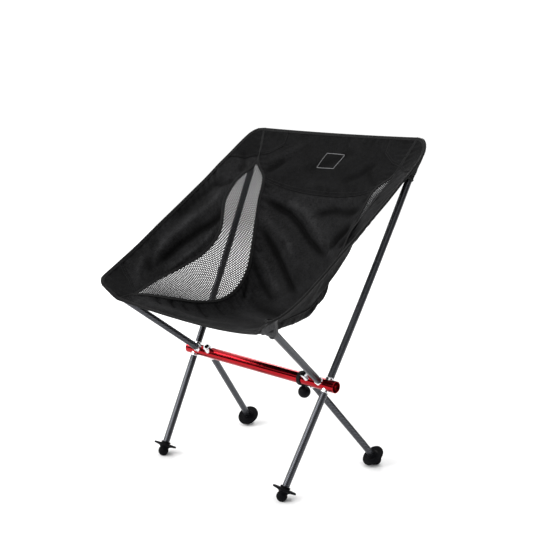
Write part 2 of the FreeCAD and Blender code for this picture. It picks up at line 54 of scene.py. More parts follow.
# ---------------------------------------------------------------- sling surface
# Four rails of the right-hand half in mm, front to top. Y is from the hub's axis, Z from the ground.
CENTRE_RAIL = [
    (0, -152, 308), (0, -130, 301), (0, -102, 294), (0, -70, 288), (0, -35, 284),
    (0, 5, 282), (0, 47, 286), (0, 85, 305), (0, 118, 350), (0, 145, 410),
    (0, 165, 468), (0, 179, 516), (0, 200, 560), (0, 221, 600), (0, 240, 634)]
PANEL_RAIL = [
    (186, -195, 332), (178, -157, 336), (150, -130, 334), (122, -104, 328), (105, -62, 318),
    (97, -8, 314), (98, 38, 328), (103, 74, 360), (112, 97, 400), (126, 122, 448),
    (138, 145, 495), (147, 168, 538), (178, 184, 566), (191, 207, 602), (202, 228, 637)]
WING_RAIL = [
    (188, -196, 333), (181, -158, 337), (190, -117, 346), (197, -79, 355), (191, -48, 365),
    (182, -18, 378), (171, 12, 394), (164, 40, 418), (161, 56, 444), (167, 68, 473),
    (179, 87, 500), (187, 128, 535), (183, 183, 568), (193, 207, 602), (204, 228, 637)]
HEM_RAIL = [
    (223, -207, 361), (236, -194, 367), (242, -155, 386), (242, -100, 418), (242, -50, 450),
    (242, -10, 475), (242, 25, 497), (242, 58, 518), (242, 85, 535), (242, 110, 552),
    (242, 130, 566), (242, 155, 582), (241, 182, 601), (236, 203, 618), (222, 222, 638)]
RAILS = [np.array(r, float) * MM for r in (CENTRE_RAIL, PANEL_RAIL, WING_RAIL, HEM_RAIL)]
SECTION_POWER = np.array(
    [[2], [2.2], [2.6], [3.4], [4.4], [5], [5.2], [4.8], [3.6], [2.8], [2.4], [2.1], [2], [2], [2]])
BUCKET_BULGE = 0.35
SLACK_PANEL = -5.0 * MM         # the right-hand net opens a little above the seat
SLACK_WING = 5.0 * MM
CROSS_SEAM = 11 / 14
MESH_START = 1.25 / 14
MESH_END = 11.8 / 14
FABRIC = 0.9 * MM


def on_rail(rail, along):
    """Points on the smooth line through a rail's points, with along from 0 to 1."""
    last = len(rail) - 1
    place = np.clip(along, 0, 1) * last
    i = np.minimum(place.astype(int), last - 1)
    t = (place - i)[..., None]
    a, b, c, d = (rail[np.clip(i + k, 0, last)] for k in (-1, 0, 1, 2))
    value = (2 * t ** 3 - 3 * t ** 2 + 1) * b + (3 * t ** 2 - 2 * t ** 3) * c
    return value + (t ** 3 - 2 * t ** 2 + t) * (c - a) / 2 + (t ** 3 - t ** 2) * (d - b) / 2


def smooth(t):
    """A smooth step from 0 to 1."""
    t = np.clip(t, 0, 1)
    return t * t * (3 - 2 * t)


def sling(across, along):
    """The sling's middle surface: across is 0 at the middle, 1 at the panel's side seam,
    2 at the wing's seam and 3 at the hem, negative on the left; along is 0 at the front."""
    across, along = np.broadcast_arrays(np.asarray(across, float), np.asarray(along, float))
    side = np.where(across < 0, -1.0, 1.0)
    reach = np.abs(across)
    centre, panel, wing, hem = (on_rail(rail, along) for rail in RAILS)
    slack = smooth((along - 0.50) / 0.08) * smooth((0.80 - along) / 0.10) * (side > 0)
    panel[..., 0] += SLACK_PANEL * slack
    wing[..., 0] += SLACK_WING * slack
    inner = np.minimum(reach, 1)
    weight = inner ** on_rail(SECTION_POWER, along)[..., 0]
    fullness = BUCKET_BULGE * np.sin(np.pi * np.clip(along, 0, 1))
    spread = inner + fullness * inner * (1 - inner) ** 2 * (1 + inner)
    middle = centre + (panel - centre) * weight[..., None]
    middle[..., 0] = panel[..., 0] * spread
    net = panel + (wing - panel) * (reach - 1)[..., None]
    outer = wing + (hem - wing) * (reach - 2)[..., None]
    point = np.where((reach <= 1)[..., None], middle, np.where((reach <= 2)[..., None], net, outer))
    point[..., 0] *= side
    point[..., 1] += HUB[1]
    return point


def unit(v):
    """Vectors scaled to length 1."""
    return v / np.maximum(np.linalg.norm(v, axis=-1, keepdims=True), 1e-12)


def across_cloth(q):
    """The across measure where the net has run out and the panel meets the wing."""
    return np.where(np.abs(q) > 1, q + np.sign(q), q)


def line_distance(points, line):
    """Distance of each point from a line of points, and how far along the line it is, 0 to 1."""
    best = np.full(points.shape[:-1], 1e9)
    place = np.zeros(points.shape[:-1])
    lengths = np.linalg.norm(np.diff(line, axis=0), axis=1)
    start, total = 0.0, lengths.sum()
    for a, b, length in zip(line[:-1], line[1:], lengths):
        t = np.clip(((points - a) @ (b - a)) / length ** 2, 0, 1)
        d = np.linalg.norm(points - a - t[..., None] * (b - a), axis=-1)
        near = d < best
        best = np.where(near, d, best)
        place = np.where(near, (start + t * length) / total, place)
        start += length
    return best, place


# Folds of the cloth: points (across, along), half width and height in mm, up is towards the sitter.
PANEL_FOLDS = [
    ([(-1.0, .725), (-.73, .722), (-.43, .713), (-.22, .69), (-.04, .662), (.16, .642), (.45, .62)],
     7, -5.5),
    ([(-.6, .745), (-.19, .733), (.01, .70), (.25, .66), (.54, .625), (.75, .60)], 10, 5.0),
    ([(-1.0, .64), (-.82, .64), (-.68, .625), (-.46, .60), (-.2, .565), (.1, .525)], 7, -5.0),
    ([(-.98, .675), (-.7, .67), (-.4, .65), (-.15, .61)], 9, 3.5),
    ([(-.08, .715), (.09, .728), (.29, .738), (.61, .73), (.9, .735)], 8, -3.5),
    ([(.22, .672), (.38, .64), (.48, .667), (.8, .70)], 8, -4.5),
    ([(-.99, .50), (-.93, .47), (-.85, .43)], 5, -3.5),
    ([(-.96, .55), (-.81, .537), (-.61, .522), (-.3, .50)], 6, -3.5),
    ([(-.95, .585), (-.7, .57), (-.4, .54), (-.15, .52)], 8, 3.0),
    ([(1.0, .60), (.75, .59), (.45, .56), (.15, .53)], 8, -4.0),
    ([(1.0, .53), (.8, .525), (.5, .51)], 7, -3.0),
    ([(1.0, .67), (.8, .655), (.55, .645)], 7, -3.5),
    ([(.99, .49), (.92, .46), (.84, .42)], 5, -3.0),
    ([(-.85, .475), (-.4, .46), (0, .455), (.4, .462), (.85, .48)], 13, -3.0),
    ([(-.8, .40), (-.3, .385), (.2, .39), (.75, .41)], 16, 2.0),
    ([(-.98, .138), (-.76, .103)], 4, -2.2), ([(-.96, .185), (-.74, .15)], 4, -2.4),
    ([(-.94, .222), (-.74, .2)], 4, -2.0), ([(-.97, .275), (-.6, .242)], 5, -2.4),
    ([(-.98, .335), (-.68, .325)], 5, -2.0), ([(-.98, .385), (-.75, .385)], 4, -1.8),
    ([(.98, .13), (.7, .10)], 4, -2.2), ([(.96, .19), (.7, .165)], 5, -2.4),
    ([(.97, .255), (.66, .235)], 4, -2.0), ([(.98, .32), (.72, .31)], 5, -2.2),
    ([(.97, .37), (.75, .38)], 4, -1.8),
    ([(-.9, .05), (-.55, .10), (-.25, .19), (0, .30)], 15, 2.6),
    ([(.9, .05), (.6, .09), (.3, .17), (.05, .26)], 15, 2.6),
    ([(-.75, .035), (-.35, .07), (0, .085), (.35, .07), (.75, .035)], 10, -1.8),
    ([(-.96, .818), (-.75, .848), (-.58, .883)], 7, -3.0),
    ([(-.9, .86), (-.6, .9), (-.35, .95)], 9, 1.6),
    ([(-.37, .845), (0, .883), (.32, .94)], 9, -1.6),
    ([(.23, .823), (.47, .853), (.67, .902)], 8, -2.2),
    ([(.95, .81), (.75, .83), (.55, .87)], 7, -2.4),
    ([(-.3, .80), (0, .815), (.3, .80)], 8, 1.4),
    ([(-.99, .61), (-.87, .62)], 3.5, -1.8), ([(-.99, .578), (-.83, .595)], 3.5, -2.0),
    ([(-.99, .557), (-.88, .562)], 3.5, -1.6), ([(-.99, .763), (-.85, .763)], 4, -1.8),
    ([(-.97, .70), (-.86, .694)], 3.5, -1.6), ([(-.98, .745), (-.88, .742)], 3, -1.2),
    ([(.99, .63), (.86, .635)], 4, -1.8), ([(.99, .57), (.85, .575)], 4, -1.8),
    ([(.99, .76), (.86, .755)], 4, -1.8), ([(.98, .71), (.85, .705)], 4, -1.6)]
WING_FOLDS = [
    ([(2.02, .70), (2.2, .57), (2.36, .45), (2.36, .34), (2.28, .22)], 8, -5.0),
    ([(2.2, .74), (2.45, .60), (2.6, .45), (2.6, .32), (2.5, .2)], 10, 4.5),
    ([(2.1, .56), (2.14, .45), (2.12, .36), (2.06, .25)], 6, 3.0),
    ([(2.4, .76), (2.72, .62), (2.82, .48), (2.8, .36)], 8, -2.5),
    ([(2.05, .78), (2.35, .72), (2.6, .66)], 7, -2.5),
    ([(2.15, .19), (2.45, .22), (2.75, .28)], 8, -2.5),
    ([(2.05, .80), (2.3, .83), (2.7, .86)], 8, -2.2),
    ([(2.1, .13), (2.4, .16), (2.7, .22)], 7, 2.2)]


FOLD_DEPTH = 1.5                # multiplies every fold's height
WING_SHARE = {-1: 1.0, 1: 0.4}         # the sitter's left wing is pulled nearly flat


def fold_relief(points, folds, side):
    """Height of a set of folds at the points."""
    total = np.zeros(points.shape[:-1])
    for route, half, height in folds:
        route = np.array(route)
        steps = np.linspace(0, len(route) - 1, 4 * len(route))
        a = np.interp(steps, range(len(route)), route[:, 0]) * side
        b = np.interp(steps, range(len(route)), route[:, 1])
        d, place = line_distance(points, sling(a, b))
        taper = smooth(place / 0.22) * smooth((1 - place) / 0.22) * 0.85 + 0.15
        total += FOLD_DEPTH * height * MM * taper * np.exp(-(d / (half * MM)) ** 2)
    return total


def ripple(distance, run, length, height, depth, seed):
    """Puckers that a seam draws into the cloth, strongest a little way from it."""
    phase = 1.7 * np.sin(run / 0.061 + seed) + 1.1 * np.sin(run / 0.023 + 2.3 * seed)
    size = 0.65 + 0.35 * np.sin(run / 0.043 + 3.1 * seed)
    near = distance / depth
    return height * size * np.sin(2 * np.pi * run / length + phase) * near * np.exp(1 - near)


def rail_run(rail, along):
    """Length along a rail, from the front."""
    steps = np.linspace(0, 1, 400)
    points = on_rail(rail, steps)
    lengths = np.concatenate([[0], np.cumsum(np.linalg.norm(np.diff(points, axis=0), axis=1))])
    return np.interp(along, steps, lengths)


def relief(across, along, points):
    """Height of the cloth's folds and puckers over the sling's middle surface."""
    reach = np.abs(across)
    total = np.zeros(points.shape[:-1])
    run_panel = rail_run(RAILS[1], along)
    run_wing = rail_run(RAILS[2], along)
    run_hem = rail_run(RAILS[3], along)
    run_mid = rail_run(RAILS[0], along)
    panel_half = on_rail(RAILS[1], along)[..., 0]
    wing_width = np.linalg.norm(on_rail(RAILS[3], along) - on_rail(RAILS[2], along), axis=-1)
    on_panel = reach <= 1
    from_seam = (1 - np.minimum(reach, 1)) * panel_half
    ends = smooth(along / 0.03) * smooth((1 - along) / 0.03)
    edge = smooth(from_seam / 0.009)
    broad = 0.7 * np.sin(points[..., 0] / 0.031 + 1.3 * np.sin(run_mid / 0.057))
    broad += 0.6 * np.sin(run_mid / 0.024 + 2.1 * np.sin(points[..., 0] / 0.046 + 1))
    broad += 0.35 * np.sin(points[..., 0] / 0.013 + run_mid / 0.017 + 1.2 * np.sin(run_mid / 0.03))
    value = fold_relief(points, PANEL_FOLDS, 1) * edge + broad * 0.55 * MM * edge
    seed = np.where(across < 0, 0.4, 2.2)
    value += ripple(from_seam, run_panel, 0.0135, 0.9 * MM, 0.0075, seed)
    across_run = points[..., 0]
    cross = np.abs(along - CROSS_SEAM) * 0.66
    value += ripple(cross, across_run + 0.4, 0.019, 0.55 * MM, 0.006, 1.1) * edge
    value += ripple(run_mid, across_run + 0.5, 0.021, 0.8 * MM, 0.012, 0.3) * edge
    value += ripple((1 - along) * 0.66, across_run + 0.5, 0.023, 0.7 * MM, 0.010, 2.3) * edge
    total = np.where(on_panel, value * ends, total)
    from_wing = (reach - 2) * wing_width
    from_hem = (3 - reach) * wing_width
    edge = smooth(from_wing / 0.008) * smooth(from_hem / 0.010)
    for side in (-1, 1):
        here = (reach > 2) & (np.sign(across) == side)
        if not here.any():
            continue
        value = fold_relief(points, WING_FOLDS, side) * edge * WING_SHARE[side]
        value += broad * 0.5 * MM * edge
        value += ripple(from_wing, run_wing, 0.016, 0.9 * MM, 0.0075, 1.7 + side)
        value += ripple(from_hem, run_hem, 0.022, 1.0 * MM, 0.011, 0.9 - side)
        total = np.where(here, value * ends, total)
    return total


def grid_normals(points):
    """Unit normals of a grid of points, rows going front to top and columns left to right."""
    du = np.gradient(points, axis=1)
    dv = np.gradient(points, axis=0)
    return unit(np.cross(du, dv))


def cloth(across, along, lift=0.0):
    """Points, normals and flat measures of a grid of the cloth, raised by lift towards the sitter."""
    base = sling(across, along)
    normal = grid_normals(base)
    height = relief(across, along, base) + lift
    points = base + normal * height[..., None]
    u = np.concatenate([np.zeros((len(base), 1)),
                        np.cumsum(np.linalg.norm(np.diff(base, axis=1), axis=-1), axis=1)], axis=1)
    u -= u[:, [u.shape[1] // 2]]
    v = np.concatenate([np.zeros((1, base.shape[1])),
                        np.cumsum(np.linalg.norm(np.diff(base, axis=0), axis=-1), axis=0)], axis=0)
    # the third measure is the fold's height, which the woven materials turn into painted shade in valleys
    # and painted light on ridges
    return points, normal, np.stack([u, v, height - lift], axis=-1)


def trace(across, along, lift=0.0, shift=0.0015):
    """Points and normals of the cloth along a line, by a narrow strip on each side of it."""
    a, v = np.broadcast_arrays(np.asarray(across, float), np.asarray(along, float))
    du = sling(a + shift, v) - sling(a - shift, v)
    dv = sling(a, np.clip(v + shift, 0, 1)) - sling(a, np.clip(v - shift, 0, 1))
    normal = unit(np.cross(du, dv))
    base = sling(a, v)
    return base + normal * (relief(a, v, base) + lift)[..., None], normal


# ---------------------------------------------------------------- mesh helpers
def mesh_object(name, points, faces, measures=None, material=None, body="frame"):
    """A smooth-shaded mesh piece that rides on a body."""
    mesh = bpy.data.meshes.new(name)
    mesh.from_pydata([tuple(p) for p in points], [], [tuple(f) for f in faces])
    if measures is not None:
        layer = mesh.attributes.new("weave", "FLOAT_VECTOR", "POINT")
        layer.data.foreach_set("vector", np.asarray(measures, np.float32).ravel())
    mesh.polygons.foreach_set("use_smooth", [True] * len(mesh.polygons))
    mesh.update()
    piece = bpy.data.objects.new(name, mesh)
    bpy.context.scene.collection.objects.link(piece)
    if material:
        mesh.materials.append(material)
    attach(piece, body)
    return piece


def grid_faces(rows, columns):
    """Quads of a grid, facing the sitter."""
    k = np.arange(rows * columns).reshape(rows, columns)
    return np.stack([k[:-1, :-1], k[:-1, 1:], k[1:, 1:], k[1:, :-1]], axis=-1).reshape(-1, 4)


def thicken(piece, thickness):
    """Gives a sheet its thickness, half on each side."""
    modifier = piece.modifiers.new("thickness", "SOLIDIFY")
    modifier.thickness = thickness
    modifier.offset = 0
    return piece


def cloth_piece(name, across, along, lift, material, thickness=FABRIC):
    """A sheet of the sling, lifted towards the sitter."""
    points, _, measures = cloth(across, along, lift)
    rows, columns = across.shape
    piece = mesh_object(name, points.reshape(-1, 3), grid_faces(rows, columns),
                        measures.reshape(-1, 3), material)
    return thicken(piece, thickness)


def swept(name, path, normal, profile, material, closed=False):
    """A band along a path: profile is (sideways, up) in mm, sideways to the right of the travel."""
    ahead = np.roll(path, -1, axis=0) - np.roll(path, 1, axis=0) if closed else np.gradient(path, axis=0)
    tangent = unit(ahead)
    sideways = unit(np.cross(tangent, normal))
    up = np.cross(sideways, tangent)
    profile = np.array(profile) * MM
    rings = path[:, None] + sideways[:, None] * profile[:, :1] + up[:, None] * profile[:, 1:]
    count, around = len(path), len(profile)
    run = np.concatenate([[0], np.cumsum(np.linalg.norm(np.diff(path, axis=0), axis=1))])
    measures = np.zeros((count, around, 3))
    measures[..., 1] = run[:, None]
    measures[..., 0] = profile[:, 0]
    faces = []
    for i in range(count if closed else count - 1):
        j = (i + 1) % count
        for k in range(around):
            n = (k + 1) % around
            faces.append((i * around + k, i * around + n, j * around + n, j * around + k))
    if not closed:
        faces.append(tuple(range(around))[::-1])
        faces.append(tuple((count - 1) * around + k for k in range(around)))
    return mesh_object(name, rings.reshape(-1, 3), faces, measures.reshape(-1, 3), material)


def resampled(path, step, *more):
    """A path, and values along it, at even steps."""
    run = np.concatenate([[0], np.cumsum(np.linalg.norm(np.diff(path, axis=0), axis=1))])
    at = np.linspace(0, run[-1], max(int(run[-1] / step), 2) + 1)
    out = []
    for values in (path,) + more:
        out.append(np.stack([np.interp(at, run, values[:, k]) for k in range(values.shape[1])], axis=-1))
    return out


STITCH_PITCH = 3.4 * MM
STITCH_LENGTH = 2.5 * MM
STITCH_RADIUS = 0.28 * MM
SIDES_ROUND = 6


def stitches(name, lines, material):
    """Rows of short thread stitches: lines are (path, normal) pairs."""
    points, faces = [], []
    turn = np.arange(SIDES_ROUND) * 2 * np.pi / SIDES_ROUND
    rings = ((-0.5, 0.25, -0.35), (-0.32, 1, 0.2), (0.32, 1, 0.2), (0.5, 0.25, -0.35))
    for path, normal in lines:
        path, normal = resampled(path, STITCH_PITCH, normal)
        tangent = unit(np.gradient(path, axis=0))
        normal = unit(normal)
        sideways = unit(np.cross(tangent, normal))
        for p, t, s, n in zip(path, tangent, sideways, normal):
            start = len(points)
            for place, size, sink in rings:
                middle = p + t * place * STITCH_LENGTH + n * sink * STITCH_RADIUS
                for angle in turn:
                    points.append(middle + (s * math.cos(angle) * 1.25 + n * math.sin(angle))
                                  * STITCH_RADIUS * size)
            for r in range(3):
                for k in range(SIDES_ROUND):
                    m = (k + 1) % SIDES_ROUND
                    a, b = start + r * SIDES_ROUND, start + (r + 1) * SIDES_ROUND
                    faces.append((a + k, b + k, b + m, a + m))
            faces.append(tuple(start + k for k in range(SIDES_ROUND)))
            faces.append(tuple(start + 3 * SIDES_ROUND + k for k in range(SIDES_ROUND))[::-1])
    return mesh_object(name, points, faces, None, material)


# ---------------------------------------------------------------- materials
class Shader:
    """A node material with one Principled shader."""

    def __init__(self, name, **sockets):
        self.material = bpy.data.materials.new(name)
        self.material.use_nodes = True
        self.tree = self.material.node_tree
        self.shader = self.tree.nodes["Principled BSDF"]
        for key, value in sockets.items():
            self.shader.inputs[key.replace("_", " ")].default_value = value

    def node(self, kind, inputs=None, **settings):
        """A node with its settings, inputs given as values or (node, output) links."""
        made = self.tree.nodes.new("ShaderNode" + kind)
        for key, value in settings.items():
            setattr(made, key, value)
        for key, value in (inputs or {}).items():
            if isinstance(value, bpy.types.NodeSocket):
                self.tree.links.new(value, made.inputs[key])
            else:
                made.inputs[key].default_value = value
        return made

    def link(self, output, key):
        """Links an output to the shader."""
        self.tree.links.new(output, self.shader.inputs[key])

    def coordinates(self, scale, weave=False):
        """Object or cloth coordinates, scaled."""
        if weave:
            source = self.node("Attribute", attribute_name="weave").outputs["Vector"]
        else:
            source = self.node("TexCoord").outputs["Object"]
        return self.node("Mapping", {"Vector": source, "Scale": scale}).outputs["Vector"]

    def ramp(self, value, stops):
        """A colour ramp with (position, colour) stops."""
        made = self.node("ValToRGB", {"Fac": value})
        elements = made.color_ramp.elements
        while len(elements) < len(stops):
            elements.new(0.5)
        for element, (position, colour) in zip(elements, stops):
            element.position = position
            element.color = (*colour, 1) if len(colour) == 3 else colour
        return made.outputs["Color"]

    def maths(self, operation, a, b):
        """A Math node's result."""
        return self.node("Math", {0: a, 1: b}, operation=operation).outputs[0]

    def bump(self, height, strength, distance):
        """Bump from a height."""
        made = self.node("Bump", {"Height": height, "Strength": strength, "Distance": distance})
        self.link(made.outputs["Normal"], "Normal")


def grey(value, tint=(1, 1, 1)):
    """A grey with a slight tint."""
    return tuple(value * t for t in tint)


def woven(name, dark, light, thread=0.9, heather=0.5):
    """Plain-woven cloth with mottled yarn and painted shade and light from its folds: darker in a fold's
    valley, lighter on its ridge; thread is the yarn's width in mm.
    """
    tint = (1, 1, 1.04)
    s = Shader(name, Roughness=0.82, Sheen_Weight=0.01, Sheen_Roughness=0.5,
               Specular_IOR_Level=0.06)
    scale = 1 / (thread * MM)
    warp = s.node("TexNoise", {"Vector": s.coordinates((scale, scale / 9, 1), True), "Scale": 1.0,
                               "Detail": 2.0, "Roughness": 0.6}).outputs["Fac"]
    weft = s.node("TexNoise", {"Vector": s.coordinates((scale / 11, scale, 1), True), "Scale": 1.0,
                               "Detail": 2.0, "Roughness": 0.6}).outputs["Fac"]
    cloud = s.node("TexNoise", {"Vector": s.coordinates((28, 28, 28), True), "Scale": 1.0,
                                "Detail": 4.0}).outputs["Fac"]
    yarn = s.maths("ADD", s.maths("MULTIPLY", warp, 0.5), s.maths("MULTIPLY", weft, 0.5))
    tone = s.maths("ADD", s.maths("MULTIPLY", yarn, 0.8), s.maths("MULTIPLY", cloud, 0.2))
    half = 0.18 * heather
    colour = s.ramp(tone, [(0.5 - half, grey(dark, tint)), (0.5 + half, grey(light, tint))])
    # painted shade and light: the fold height in the weave attribute scales the colour, from a quarter in
    # deep valleys to double on high ridges
    height = s.node("SeparateXYZ", {0: s.coordinates((1, 1, 1), True)}).outputs["Z"]
    fold_shade = s.node("MapRange", {"Value": height, "From Min": -6 * MM, "From Max": 6 * MM,
                               "To Min": 0.25, "To Max": 2.0}).outputs["Result"]
    s.link(s.node("VectorMath", {0: colour, "Scale": fold_shade}, operation="SCALE").outputs[0], "Base Color")
    waves = []
    for axis, key in ((0, "X"), (1, "Y")):
        waves.append(s.node("TexWave", {"Vector": s.coordinates((scale / 2, scale / 2, 1), True),
                                        "Scale": 1.0, "Distortion": 0.4,
                                        "Detail": 1.0}, bands_direction=key).outputs["Fac"])
    height = s.maths("ADD", s.maths("MAXIMUM", *waves), s.maths("MULTIPLY", yarn, 0.6))
    s.bump(height, 0.55, 0.00018)
    return s.material


def metal(name, colour, rough, grain, strength, tint):
    """Anodised or polished metal with a fine drawn grain."""
    s = Shader(name, Metallic=1.0)
    fine = s.node("TexNoise", {"Vector": s.coordinates(grain), "Scale": 1.0, "Detail": 3.0}).outputs["Fac"]
    broad = s.node("TexNoise", {"Vector": s.coordinates((22, 22, 22)), "Scale": 1.0,
                                "Detail": 2.0}).outputs["Fac"]
    dark = tuple(c * (1 - tint) for c in colour)
    light = tuple(min(c * (1 + tint), 1) for c in colour)
    s.link(s.ramp(broad, [(0.35, dark), (0.65, light)]), "Base Color")
    rough_value = s.node("MapRange", {"Value": fine, "From Min": 0.3, "From Max": 0.7,
                                      "To Min": rough * 0.75, "To Max": rough * 1.3}).outputs["Result"]
    s.link(rough_value, "Roughness")
    s.bump(fine, strength, 0.00002)
    return s.material


def plain(name, colour, rough, scale, strength, distance, **sockets):
    """Moulded plastic or rubber: fine texture in its colour, gloss and surface."""
    s = Shader(name, **sockets)
    fine = s.node("TexNoise", {"Vector": s.coordinates((scale,) * 3), "Scale": 1.0,
                               "Detail": 5.0, "Roughness": 0.6}).outputs["Fac"]
    broad = s.node("TexNoise", {"Vector": s.coordinates((60, 60, 60)), "Scale": 1.0,
                                "Detail": 2.0}).outputs["Fac"]
    mix = s.maths("ADD", s.maths("MULTIPLY", fine, 0.5), s.maths("MULTIPLY", broad, 0.5))
    s.link(s.ramp(mix, [(0.35, tuple(c * 0.72 for c in colour)), (0.65, tuple(c * 1.3 for c in colour))]),
           "Base Color")
    s.link(s.node("MapRange", {"Value": mix, "From Min": 0.3, "From Max": 0.7, "To Min": rough * 0.85,
                               "To Max": rough * 1.15}).outputs["Result"], "Roughness")
    s.bump(fine, strength, distance)
    return s.material


def ribbed(name, dark, light, pitch, axis="Y", weave=True, roughness=0.75):
    """Narrow woven tape: ribs across it and mottled yarn, pitch in mm."""
    tint = (1, 1, 1.03)
    s = Shader(name, Roughness=roughness, Sheen_Weight=0.01, Sheen_Roughness=0.5,
               Specular_IOR_Level=0.14)
    scale = 1 / (pitch * MM)
    ribs = s.node("TexWave", {"Vector": s.coordinates((scale, scale, scale), weave),
                              "Scale": 1.0, "Distortion": 0.3}, bands_direction=axis).outputs["Fac"]
    noise = s.node("TexNoise", {"Vector": s.coordinates((scale / 2,) * 3, weave), "Scale": 1.0,
                                "Detail": 3.0}).outputs["Fac"]
    tone = s.maths("ADD", s.maths("MULTIPLY", ribs, 0.4), s.maths("MULTIPLY", noise, 0.6))
    s.link(s.ramp(tone, [(0.3, grey(dark, tint)), (0.75, grey(light, tint))]), "Base Color")
    s.bump(tone, 0.5, 0.0002)
    return s.material


CLOTH = woven("sling_fabric", 0.0036, 0.0150, 1.0)
YOKE = woven("yoke_fabric", 0.002, 0.0080, 1.0)
POCKET_CLOTH = woven("pocket_fabric", 0.003, 0.011, 1.3)
# painted light: the front pockets' webbing is far lighter than the sling cloth, standing in for the light
# on their lit ends
LIT_WEBBING = woven("pocket_webbing", 0.030, 0.065, 1.3)
NET = plain("net_fabric", (0.005, 0.005, 0.006), 0.7, 2500, 0.4, 0.0001,
            Specular_IOR_Level=0.2)
TAPE = ribbed("tape_fabric", 0.001, 0.005, 1.1, roughness=0.6)
# painted light: the front pockets' lip tape is far lighter than the dark tape on the top pockets' lips,
# for the same lit ends
LIT_LIP = ribbed("lip_tape", 0.05, 0.11, 1.0)
THREAD = ribbed("thread", 0.010, 0.030, 0.5, weave=False)
LABEL = woven("patch_fabric", 0.003, 0.007, 0.6, heather=0.8)
LABEL_EDGE = ribbed("patch_border", 0.12, 0.25, 0.6)
HUB_RED = metal("hub_anodised", (0.33, 0.009, 0.014), 0.17, (60, 900, 900), 0.12, 0.08)
POLISHED = metal("ferrule_polished", (0.78, 0.78, 0.80), 0.13, (900, 900, 900), 0.1, 0.04)
RUBBER = plain("foot_rubber", (0.0022, 0.0022, 0.003), 0.6, 1800, 0.35, 0.00015,
               Specular_IOR_Level=0.06)
CAP = plain("cap_plastic", (0.005, 0.005, 0.006), 0.42, 1500, 0.2, 0.0001,
            Specular_IOR_Level=0.2)
TOGGLE = plain("toggle_plastic", (0.003, 0.003, 0.004), 0.45, 900, 0.25, 0.0001,
               Specular_IOR_Level=0.08)
CORD = ribbed("shock_cord", 0.02, 0.08, 1.2, "DIAGONAL", False)
ELASTIC = ribbed("elastic", 0.004, 0.014, 0.9, "X", False)


def pole_material():
    """Dark gunmetal tube with a fine diagonal pattern in its finish."""
    s = Shader("pole_anodised", Metallic=0.92, Specular_IOR_Level=0.5)
    fine = s.node("TexNoise", {"Vector": s.coordinates((700, 700, 90)), "Scale": 1.0,
                               "Detail": 3.0}).outputs["Fac"]
    twill = s.node("TexWave", {"Vector": s.coordinates((115, 0, 200)), "Scale": 1.0,
                               "Distortion": 0.6, "Detail": 1.0, "Detail Scale": 2.0},
                   bands_direction="DIAGONAL", wave_profile="SIN").outputs["Fac"]
    tone = s.maths("ADD", s.maths("MULTIPLY", twill, 0.6), s.maths("MULTIPLY", fine, 0.4))
    s.link(s.ramp(tone, [(0.25, (0.016, 0.017, 0.020)), (0.75, (0.105, 0.108, 0.119))]), "Base Color")
    s.link(s.node("MapRange", {"Value": tone, "To Min": 0.34, "To Max": 0.24}).outputs["Result"],
           "Roughness")
    s.bump(tone, 0.2, 0.0001)
    return s.material


POLE = pole_material()
FINISH = {
    "hub_tube": HUB_RED, "main_ferrule": POLISHED, "seat_ferrule": POLISHED, "rear_ferrule": POLISHED,
    "back_pole_joiner": POLISHED, "back_pole_cap": CAP, "seat_pole_cap": CAP, "back_pole_cord": CORD,
    "seat_pole_cord": CORD, "front_leg_cord": CORD, "rear_leg_cord": CORD, "back_pole": POLE,
    "seat_pole": POLE, "front_leg": POLE, "rear_leg": POLE, "front_foot": RUBBER,
    "rear_foot": RUBBER, "tie_band": ELASTIC, "tie_ball": TOGGLE}
for name, node in nodes.items():
    prefix = max((p for p in FINISH if name.startswith(p)), key=len, default=None)
    if prefix:
        for slot in node.material_slots:
            slot.material = FINISH[prefix]

# ---------------------------------------------------------------- cloth pieces
HEM_COVER = 0.004               # how far the cloth stops short of the edge, inside the tape


def span(first, last, count):
    """Evenly spaced values."""
    return np.linspace(first, last, count)


def sheet_grid(a_values, v_values):
    """Across and along grids."""
    return np.meshgrid(a_values, v_values)


a, v = sheet_grid(span(-0.999, 0.999, 131), span(0.006, CROSS_SEAM + 0.006, 230))
seat_cloth = cloth_piece("seat_cloth", a, v, 0.0, CLOTH)
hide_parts("seat_panel")
a, v = sheet_grid(span(-0.999, 0.999, 131), span(CROSS_SEAM - 0.006, 0.994, 70))
headrest_cloth = cloth_piece("headrest_cloth", a, v, 0.5 * MM, YOKE)
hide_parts("headrest_panel")

SIDE = {"left": -1, "right": 1}


def wing_edge(along):
    """Where the wing's cloth ends under the hem's tape, further in at the rounded corners."""
    width = np.linalg.norm(on_rail(RAILS[3], along) - on_rail(RAILS[2], along), axis=-1)
    corner = np.exp(-(along / 0.035) ** 2) + np.exp(-((1 - along) / 0.035) ** 2)
    return 3 - (HEM_COVER + 4.5 * MM * corner) / width


def within_hem(across, along):
    """Across values kept inside the hem's tape."""
    return np.sign(across) * np.minimum(np.abs(across), wing_edge(along))


for name, side in SIDE.items():
    v = np.repeat(span(0.007, 0.993, 260)[:, None], 41, axis=1)
    a = (2.001 + (wing_edge(v) - 2.001) * span(0, 1, 41)) * side
    if side < 0:
        a = a[:, ::-1]
    cloth_piece("wing_cloth_" + name, a, v, 0.0, CLOTH)
    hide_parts("side_wing_" + name)

